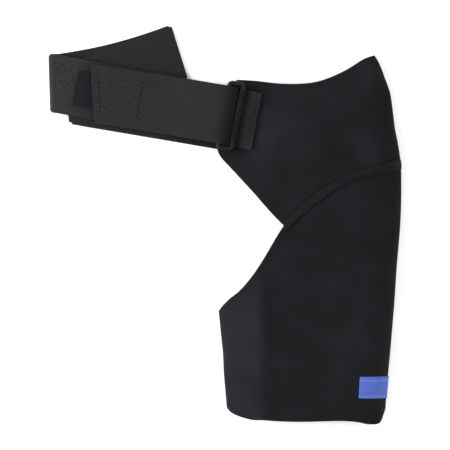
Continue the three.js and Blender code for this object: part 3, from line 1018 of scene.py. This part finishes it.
@dataclass
class Body:
    """Arm sleeve and shoulder cap of neoprene with the tape over their seam and the label.

    The tape's line and all places are in pixels of the picture. The section lists X and the lift
    of the sleeve's upper layer, which fades in between the two section rows.
    """

    wall: float = 3.4 * MM
    edge_round: float = 0.7 * MM
    knit: KnitFinish = KnitFinish()
    foam: FoamFinish = FoamFinish()
    tape_line: tuple[Flat, ...] = (
        *((284.5, 224.3), (298.4, 212.5), (311, 201.3), (327, 190), (339.6, 182.4)),
        *((351.3, 176.7), (363, 172.1), (375.5, 168.7), (388, 166), (401, 163.8)),
    )
    dents: tuple[Dent, ...] = (
        Dent((357, 156), 20 * PIXEL, -4.2 * MM),
        Dent((342, 128), 46 * PIXEL, -1.0 * MM),
        Dent((276, 166), 34 * PIXEL, 1.5 * MM),
        Dent((300, 96), 34 * PIXEL, 0.5 * MM),
        Dent((369, 82), 26 * PIXEL, 2.1 * MM),
    )
    upper_layer: Fade = Fade(6 * MM, 8 * MM)
    section: tuple[Flat, ...] = (
        *((-8 * MM, 0.0), (-1 * MM, -0.25 * MM), (8 * MM, -0.35 * MM), (18 * MM, -0.05 * MM)),
        *((25 * MM, 0.3 * MM), (32 * MM, 0.8 * MM), (36 * MM, 0.1 * MM), (41 * MM, -0.6 * MM)),
        *((48 * MM, -1.05 * MM), (62 * MM, -1.1 * MM), (80 * MM, -0.6 * MM), (98 * MM, 0.1 * MM)),
        *((112 * MM, 0.7 * MM), (124 * MM, 1.5 * MM), (131 * MM, 1.5 * MM), (139 * MM, 0.5 * MM)),
        (145 * MM, 0.0),
    )
    section_rows: Flat = (245, 300)
    peak: Dent = Dent((373, 57), 22 * MM, 1.4 * MM)
    hem_corner: Dent = Dent((380, 424), 15 * MM, 1.6 * MM, crest=1.3)
    neck_rise: float = 0.8 * MM
    neck: Fade = Fade(95 * MM, 25 * MM)
    fold_swell: float = 1.2 * MM
    fold: Fade = Fade(80 * MM, 55 * MM)
    cap_tuck: float = 1.5 * MM
    cap_side: Fade = Fade(20 * MM, -24 * MM)
    cap_above: Fade = Fade(8 * MM, 14 * MM)
    sleeve_tuck: float = 0.8 * MM
    sleeve_side: Fade = Fade(10 * MM, -10 * MM)
    sleeve_below: Fade = Fade(-40 * MM, -20 * MM)
    hem_rise: float = 1.9 * MM
    hem_start: Flat = (250, 426)
    hem_end: Flat = (368, 385)
    hem_reaches: Flat = (16 * MM, 14 * MM)
    hem_depth: float = 20 * MM
    label_rise: float = 0.8 * MM
    notch_row: float = 231.0
    notch_squash: float = 0.2
    tape_tuck: float = 0.7 * MM
    tape_end: Fade = Fade(140 * MM, 9 * MM)
    tape_straight: float = 60 * MM

    def build(self) -> None:
        """Build the sleeve, the cap, the tape and the label."""
        skins = [self.knit.material(), self.foam.material()]
        self.sleeve = self.panel("arm_sleeve", "sleeve_panel", skins)
        self.cap = self.panel("shoulder_cap", "cap_panel", skins)
        self.tape = self.trim("seam_tape", "seam_tape_woven", 0.28 * MM)
        self.finish_tape()
        low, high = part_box("label")
        self.label = self.trim("label", "label_woven", 0.15 * MM)
        self.ease(self.label)
        for vertex in self.label.data.vertices:
            vertex.co.y += self.label_rise
        finish = WovenLabelFinish(low[1], high[1])
        Bench.dress(self.label, "label", [finish.material()], "label")

    def trim(self, node: str, name: str, bevel: float) -> Piece:
        """Make a thin sewn-on piece from its CAD shape, rounded and finer.

        Args:
            node: CAD node.
            name: Name of the new piece.
            bevel: Width of its rounding.

        Returns:
            The piece.
        """
        piece = Bench.copy_node(node, name)
        Bench.refine(piece, 1, kept=True)
        Bench.round_edges(piece, bevel, 56.0)
        return piece

    def finish_tape(self) -> None:
        """Unwrap the tape, seat it with the cloth, square its end at the notch and dress it."""
        points = self.tape.data.vertices
        Bench.unwrap(self.tape, self.along_tape)
        straight = [vertex.co for vertex in points if vertex.co.x > self.tape_straight]
        half = max(abs(self.along_tape(place)[1]) for place in straight)
        self.ease(self.tape)
        notch = from_picture(0, self.notch_row)[1]
        for vertex in points:
            if vertex.co.y < notch:
                vertex.co.y = notch + (vertex.co.y - notch) * self.notch_squash
            vertex.co.x -= self.tape_tuck * self.tape_end.at(vertex.co.x)
        Bench.dress(self.tape, "tape", [TapeFinish(half).material()], "seam_tape")

    def along_tape(self, place: Vector) -> Flat:
        """Run along the tape and distance from its middle line.

        Args:
            place: Point of the tape.

        Returns:
            Run and distance in metres.
        """
        best, run = (0.0, 0.0), 0.0
        nearest = math.inf
        line = [Vector(from_picture(*point)) for point in self.tape_line]
        flat = Vector((place.x, place.y))
        for a, b in zip(line, line[1:]):
            head = (b - a).normalized()
            share = min((b - a).length, max(0.0, (flat - a).dot(head)))
            away = flat - a - head * share
            if away.length < nearest:
                nearest = away.length
                best = (run + share, away.dot(Vector((-head.y, head.x))))
            run += (b - a).length
        return best

    def panel(self, node: str, name: str, skins: list[Material]) -> Piece:
        """Make one neoprene piece from its CAD shape.

        Args:
            node: CAD node.
            name: Name of the new piece.
            skins: Face and edge materials.

        Returns:
            The piece.
        """
        piece = Bench.copy_node(node, name)
        self.mark_edges(piece)
        Bench.refine(piece, 2, kept=True)
        Bench.round_edges(piece, self.edge_round, 56.0)
        self.ease(piece)
        Bench.dress(piece, "neoprene", skins, node)
        return piece

    def ease(self, piece: Piece) -> None:
        """Let the cloth swell and sink softly, the same way for all that lies together.

        Args:
            piece: The piece.
        """
        for vertex in piece.data.vertices:
            place = vertex.co
            shift = Vector((self.fold_swell * self.fold.at(place.x), 0.0, self.lift(place)))
            shift.x += self.cap_tuck * self.cap_side.at(place.x) * self.cap_above.at(place.y)
            below = self.sleeve_below.at(place.y)
            shift.x += self.sleeve_tuck * self.sleeve_side.at(place.x) * below
            shift.y = self.hem_shift(place) + self.neck_rise * self.neck.at(place.y)
            shift.y += self.peak.at(place) + self.hem_corner.at(place)
            vertex.co += shift

    def hem_shift(self, place: Vector) -> float:
        """Shift of the hem's middle towards the cap, fading out over the sleeve's lowest part.

        Args:
            place: Point of the piece.

        Returns:
            Shift in metres.
        """
        (left, low), (right, top) = from_picture(*self.hem_start), from_picture(*self.hem_end)
        near_left, near_right = self.hem_reaches
        middle = smooth((place.x - left) / near_left) * smooth((right - place.x) / near_right)
        share = smooth((top - place.y) / (top - low)) * smooth(place.z / self.hem_depth)
        return self.hem_rise * middle * share

    def lift(self, place: Vector) -> float:
        """Lift of the upper layer, zero near the floor.

        Args:
            place: Point of the piece.

        Returns:
            Lift in metres.
        """
        total = sum(dent.at(place) for dent in self.dents)
        start, end = (from_picture(0, row)[1] for row in self.section_rows)
        fade = smooth((start - place.y) / (start - end))
        for (left, low), (right, high) in zip(self.section, self.section[1:]):
            if left <= place.x < right:
                share = smooth((place.x - left) / (right - left))
                total += fade * (low + (high - low) * share)
        return self.upper_layer.at(place.z) * total

    def mark_edges(self, piece: Piece) -> None:
        """Give the strips between the two faces the cut-edge material.

        Args:
            piece: The piece.
        """
        shape = bmesh.new()
        shape.from_mesh(piece.data)
        for face in shape.faces:
            sharp = [edge.calc_face_angle(0.0) > math.radians(60) for edge in face.edges]
            opposite = len(sharp) == 4 and (all(sharp[::2]) or all(sharp[1::2]))
            narrow = min(edge.calc_length() for edge in face.edges) < self.wall * 1.3
            face.material_index = 1 if opposite and narrow else 0
        shape.to_mesh(piece.data)
        shape.free()


@dataclass
class Strap:
    """Elastic strap, folded zigzag, put through the ring and fastened on itself.

    Turns are the corners of its middle line in shares of its run, from the loop. Lean and end
    slant are in degrees. Near fold and near end are the extra stations, in shares of a band.
    Sewn rise and ring rise are the shares of a band where its height starts to change and
    over which it does.
    """

    width: float = 50 * MM
    thickness: float = 1.8 * MM
    gap: float = 0.3 * MM
    run: float = 153.5 * MM
    loop_radius: float = 4 * MM
    loop_back: float = 2.65 * MM
    lean: float = 11.1
    patch_height: float = 35 * MM
    patch_thickness: float = 1 * MM
    end_slant: float = 13.0
    edge_round: float = 0.35 * MM
    corner_round: float = 3.2 * MM
    fold_round: float = 2.5 * MM
    fold_half: float = 1.7 * MM
    fold_narrowing: float = 0.7
    loop_swell: float = 0.018
    loop_reach: float = 45 * MM
    sewn_rise: Flat = (0.25, 0.15)
    ring_rise: Flat = (0.53, 0.36)
    end_fall: float = 0.6
    ruling_reach: float = 0.1
    columns: int = 36
    rows: int = 12
    fold_steps: int = 12
    near_fold: tuple[float, ...] = (0.003, 0.007, 0.011, 0.016, 0.021)
    near_end: tuple[float, ...] = (2.6, 1.9, 1.3, 0.8, 0.4, 0.12, 0.0)
    end_scale: float = 120
    folds: list[int] = field(default_factory=list)
    sag: tuple[float, ...] = (0.0, 0.0, -3.5 * MM, 0.0, 0.0)
    turns: tuple[Flat, ...] = (
        *((0.169, -0.062), (-0.904, 0.1195), (-0.286, 0.358)),
        *((-0.986, 0.184), (0.0, 0.0), (-0.768, 0.1277)),
    )

    def build(self) -> None:
        """Build the strap."""
        low, high = (Vector(corner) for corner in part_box("strap_ring"))
        lean = math.radians(self.lean)
        self.ring = (low + high) / 2
        loop = self.ring - Vector((math.cos(lean), -math.sin(lean), 0)) * self.loop_back
        self.points = [
            Vector((loop.x + x * self.run, loop.y + y * self.run, 0)) for x, y in self.turns
        ]
        self.stations = self.make_stations()
        self.length = self.stations[-1][3]
        self.piece = self.make_strap()

    def level(self, count: int) -> float:
        """Height of a layer of the folded stack."""
        return self.thickness / 2 + count * (self.thickness + self.gap)

    def height(self, band: int, share: float) -> float:
        """Height of the strap's middle on a band.

        Args:
            band: Number of the band from the sewn end.
            share: Share of the band's length.

        Returns:
            Height in metres.
        """
        if band in (1, 2):
            return self.level(2 - band)
        if band == 0:
            low, high = self.level(0), self.level(2)
            start, reach = self.sewn_rise
        elif band == 3:
            low, high = self.level(3), self.ring.z - self.loop_radius
            start, reach = self.ring_rise
        else:
            low = self.ring.z + self.loop_radius
            high = self.level(3) + self.thickness + 3 * self.gap + 2 * self.patch_thickness
            start, reach = 0.0, self.end_fall
        return low + (high - low) * smooth((share - start) / reach)

    def shares(self, last: bool) -> list[float]:
        """Places of the stations along a band, closer near folds and near the free end.

        Args:
            last: Whether the band ends in the free end.

        Returns:
            Shares of the band's length.
        """
        even = [k / self.columns for k in range(self.columns + 1)]
        places = sorted(even + [*self.near_fold] + [1 - share for share in self.near_fold])
        if last:
            places = [share for share in places if share < 0.975]
            places += [1 - away / self.end_scale for away in self.near_end]
        return places

    @staticmethod
    def folded(out: Vector, square: Vector) -> Vector:
        """Line along a fold that points out, as long across the band as the square one."""
        ruling = Vector((-out.y, out.x, 0))
        return ruling / ruling.dot(square)

    def make_stations(self) -> list[tuple[Vector, Vector, Vector, float]]:
        """Find the stations along the strap.

        Returns:
            Centre, line across, normal and length from the sewn end of each.
        """
        heads = [(b - a).normalized() for a, b in zip(self.points, self.points[1:])]
        squares = [Vector((-head.y, head.x, 0)) for head in heads]
        outs = [(a - b).normalized() for a, b in zip(heads, heads[1:])]
        slant = math.tan(math.radians(self.end_slant))
        stations: list[tuple[Vector, Vector, Vector]] = []
        side = 1
        for band, square in enumerate(squares):
            free = band == len(outs)
            first = self.folded(outs[band - 1], square) if band else square
            last = square - heads[band] * slant if free else self.folded(outs[band], square)
            for share in self.shares(free):
                ruling = square + (first - square) * max(0.0, 1 - share / self.ruling_reach)
                ruling += (last - square) * max(0.0, 1 - (1 - share) / self.ruling_reach)
                centre = self.points[band].lerp(self.points[band + 1], share)
                centre += square * self.sag[band] * square.y * math.sin(math.pi * share)
                centre.z = self.height(band, share)
                stations.append((centre, ruling * side, Vector((0, 0, side))))
            if free:
                break
            self.folds.append(len(stations) + self.fold_steps // 2 - 1)
            start, end = self.height(band, 1.0), self.height(band + 1, 0.0)
            up = math.copysign(1, start - end)
            for k in range(1, self.fold_steps):
                angle = math.pi * k / self.fold_steps
                radial = outs[band] * math.sin(angle)
                radial.z = up * math.cos(angle)
                centre = self.points[band + 1] + radial * abs(start - end) / 2
                centre.z += (start + end) / 2
                stations.append((centre, last * side, radial * side * up))
            side = -side
        steps = ((b[0] - a[0]).length for a, b in zip(stations, stations[1:]))
        runs = accumulate(steps, initial=0.0)
        return [(*station, run) for station, run in zip(stations, runs)]

    @staticmethod
    def rounded(away: float, radius: float) -> float:
        """Width that a rounded corner takes off at a distance from the end."""
        return radius - math.sqrt(radius**2 - max(0.0, radius - away) ** 2)

    def narrowing(self, index: int) -> float:
        """Share of the width at a station, less where folds and the free end are rounded.

        Args:
            index: Number of the station.

        Returns:
            Share of the width.
        """
        run = self.stations[index][3]
        *flat, loop = (abs(run - self.stations[fold][3]) for fold in self.folds)
        near = max(0.0, min(flat) - self.fold_half)
        fold_cut = self.rounded(near, self.fold_round) * self.fold_narrowing
        cut = max(self.rounded(self.length - run, self.corner_round), fold_cut)
        swell = self.loop_swell * smooth(1 - loop / self.loop_reach)
        return 1 - cut / (self.width / 2) + swell

    def make_strap(self) -> Piece:
        """Fold a flat strip along the stations and give it its thickness.

        Returns:
            The strap.
        """
        last = len(self.stations) - 1
        bpy.ops.object.select_all(action="DESELECT")
        bpy.ops.mesh.primitive_grid_add(x_subdivisions=last, y_subdivisions=self.rows, size=2)
        piece = bpy.context.object
        piece.name = piece.data.name = "elastic_strap"
        plan: dict[int, Flat] = {}
        for vertex in piece.data.vertices:
            index = round((vertex.co.x + 1) / 2 * last)
            centre, ruling, _, run = self.stations[index]
            across = vertex.co.y * self.narrowing(index) * self.width / 2
            vertex.co = centre + ruling * across
            plan[vertex.index] = (run, across)
        sheet = piece.data.uv_layers.active or piece.data.uv_layers.new(name="strap")
        for loop in piece.data.loops:
            sheet.data[loop.index].uv = plan[loop.vertex_index]
        wall = piece.modifiers.new("wall", "SOLIDIFY")
        wall.thickness = self.thickness
        wall.offset = 0.0
        Bench.apply(piece)
        Bench.round_edges(piece, self.edge_round)
        Bench.dress(piece, "elastic", [ElasticFinish(self.length).material()], "strap")
        return piece


@dataclass
class Fastening:
    """Two hook-and-loop patches, the tab on the cap and the ring between tab and strap.

    Each patch has its CAD node, its name and the band of the strap that it lies on.
    """

    tab_length: float = 46 * MM
    edge_round: float = 0.3 * MM
    ring_swell: float = 0.45 * MM
    patch_cuts: int = 5
    patches: tuple[tuple[str, str, int], ...] = (
        ("fastening_patch", "loop_patch", 3),
        ("end_patch", "hook_patch", 4),
    )

    def build(self, strap: Strap) -> None:
        """Build the patches, the tab and the ring.

        Args:
            strap: The strap that carries the patches.
        """
        nap = NapFinish(strap.patch_height / 2).material()
        patches = [self.patch(*row, strap, nap) for row in self.patches]
        self.tab = Bench.copy_node("anchor_tab", "tab_webbing")
        Bench.round_edges(self.tab, self.edge_round)
        Bench.dress(self.tab, "webbing", [WebbingFinish().material()], "anchor_tab")
        ring = Bench.copy_node("strap_ring", "ring_moulded")
        Bench.refine(ring, 2, kept=False)
        with Bench.editing(ring):
            bpy.ops.transform.shrink_fatten(value=self.ring_swell)
        Bench.dress(ring, "ring", [PlasticFinish().material()], "strap_ring")

    def patch(self, node: str, name: str, band: int, strap: Strap, nap: Material) -> Piece:
        """Make one patch from its CAD shape.

        Args:
            node: CAD node.
            name: Name of the new piece.
            band: Number of the strap's band that it lies on.
            strap: The strap.
            nap: Material of the patch.

        Returns:
            The piece.
        """
        piece = Bench.copy_node(node, name)
        with Bench.editing(piece):
            bpy.ops.mesh.subdivide(number_cuts=self.patch_cuts)
        Bench.round_edges(piece, self.edge_round)
        start = strap.points[band]
        heading = (strap.points[band + 1] - start).normalized()
        square = Vector((-heading.y, heading.x, 0))

        def plan(place: Vector) -> Flat:
            """Place along and across the band."""
            return (place - start).dot(heading), (place - start).dot(square)

        Bench.unwrap(piece, plan)
        Bench.dress(piece, "hook_and_loop", [nap], node)
        return piece


@dataclass
class Studio:
    """Floor, soft lights and the camera straight above.

    Each light has its name, place, size and power in watts.
    """

    lens: float = 300.0
    sensor: float = 36.0
    span: float = 448.2 * PIXEL
    plane: float = 15 * MM
    floor_level: float = -0.3 * MM
    floor_size: float = 8.0
    room: float = 0.54
    lights: tuple[tuple[str, tuple[float, float, float], float, float], ...] = (
        ("key", (-1.75, 0.35, 1.05), 1.4, 90.0),
        ("fill", (0.6, -0.35, 2.3), 1.8, 30.0),
        ("side", (1.6, -0.1, 0.95), 1.2, 18.0),
    )

    def build(self) -> None:
        """Build the studio."""
        self.camera()
        self.floor()
        self.light()

    def camera(self) -> None:
        """Camera looking straight down, the picture's top towards +Y."""
        data = bpy.data.cameras.new("camera")
        data.lens = self.lens
        data.sensor_width = self.sensor
        data.clip_end = 20.0
        camera = bpy.data.objects.new("camera", data)
        camera.location = (0.0, 0.0, self.plane + self.span * self.lens / self.sensor)
        bpy.context.scene.collection.objects.link(camera)
        bpy.context.scene.camera = camera

    def floor(self) -> None:
        """Plain pale floor."""
        bpy.ops.object.select_all(action="DESELECT")
        bpy.ops.mesh.primitive_plane_add(size=self.floor_size, location=(0, 0, self.floor_level))
        floor = bpy.context.object
        floor.name = "floor"
        bpy.ops.object.transform_apply(location=True, rotation=True, scale=True)
        floor.data.materials.append(StudioFloorFinish().material())

    def light(self) -> None:
        """Large soft light from the left, a fill, a weak side light and an even room."""
        world = bpy.data.worlds.new("room")
        world.use_nodes = True
        background = world.node_tree.nodes["Background"]
        background.inputs["Color"].default_value = (1, 1, 1, 1)
        background.inputs["Strength"].default_value = self.room
        scene = bpy.context.scene
        scene.world = world
        for name, place, size, watts in self.lights:
            data = bpy.data.lights.new(name, "AREA")
            data.size = size
            data.energy = watts
            light = bpy.data.objects.new(name, data)
            light.location = place
            light.rotation_euler = (-Vector(place)).to_track_quat("-Z", "Y").to_euler()
            scene.collection.objects.link(light)
        scene.view_settings.view_transform = "Standard"
        scene.view_settings.look = "None"


@dataclass(frozen=True)
class Sewing:
    """All visible rows of stitches, their lines in pixels of the picture."""

    seam_lower: tuple[Flat, ...] = (
        *((290, 225), (304.6, 212.6), (318, 201.8), (337, 187.8), (348.4, 181.2)),
        *((360.4, 175.6), (375.4, 171), (385, 168.6), (396, 167)),
    )
    seam_upper: tuple[Flat, ...] = (
        *((283.2, 221.2), (293, 211.8), (304.7, 200.3), (317.9, 190), (331, 182.8)),
        *((342.8, 176.8), (354.2, 172.4), (366.2, 168), (383.1, 163.8), (394, 160.3)),
    )
    tab_side: tuple[Flat, ...] = ((260, 92.8), (250.2, 148.2))
    tab_foot: tuple[Flat, ...] = ((240, 145.6), (249.6, 147.6))
    strap_end: tuple[Flat, ...] = ((99, 75.5), (100.2, 114))
    strap_inner: tuple[Flat, ...] = ((143.2, 81.5), (136.8, 119))
    seam_thread: ThreadFinish = ThreadFinish(
        "seam_thread", (0.0012, 0.0012, 0.0014), (0.0032, 0.0032, 0.0037), 0.05
    )
    tab_thread: ThreadFinish = ThreadFinish(
        "tab_thread", (0.010, 0.010, 0.0105), (0.022, 0.022, 0.023)
    )
    black_thread: ThreadFinish = ThreadFinish(
        "strap_thread", (0.0027, 0.0027, 0.0028), (0.0048, 0.0048, 0.0050), 0.02
    )
    grey_thread: ThreadFinish = ThreadFinish(
        "strap_thread_grey", (0.010, 0.010, 0.0105), (0.020, 0.020, 0.021)
    )

    def build(self, body: Body, strap: Strap, fastening: Fastening) -> None:
        """Sew the rows.

        Args:
            body: Sleeve, cap and tape.
            strap: The strap.
            fastening: Tab, ring and patches.
        """
        seam = Stitching("seam_stitches", 2.1 * MM, 2.6 * MM, 0.26 * MM)
        cloth = Bench.tree_of(body.sleeve, body.cap, body.tape)
        for line in (self.seam_lower, self.seam_upper):
            seam.row(cloth, line)
            seam.row(cloth, line, Face.DOWN)
        seam.build(self.seam_thread, "tape")

        tab = Stitching("tab_stitches", 1.8 * MM, 2.5 * MM, 0.25 * MM)
        webbing = Bench.tree_of(fastening.tab)
        for line in (self.tab_side, self.tab_foot):
            tab.row(webbing, line)
        tab.build(self.tab_thread, "webbing")

        elastic = Bench.tree_of(strap.piece)
        dashes = Stitching("strap_stitches", 3.1 * MM, 4.4 * MM, 0.3 * MM)
        dashes.row(elastic, self.strap_inner)
        dashes.radius = 0.2 * MM
        dashes.row(elastic, self.strap_end)
        dashes.build(self.black_thread, "elastic")
        dots = Stitching("strap_stitch_ends", 0.8 * MM, 4.4 * MM, 0.3 * MM, start=0.98)
        dots.row(elastic, self.strap_end)
        dots.build(self.grey_thread, "elastic")


def main() -> None:
    """Build the brace and its studio."""
    logging.basicConfig(level=logging.INFO, format="%(message)s")
    Studio().build()
    body = Body()
    body.build()
    strap = Strap()
    strap.build()
    fastening = Fastening()
    fastening.build(strap)
    Sewing().build(body, strap, fastening)
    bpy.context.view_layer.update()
    LOG.info("strap length %.3f m", strap.length)


if __name__ == "__main__":
    main()
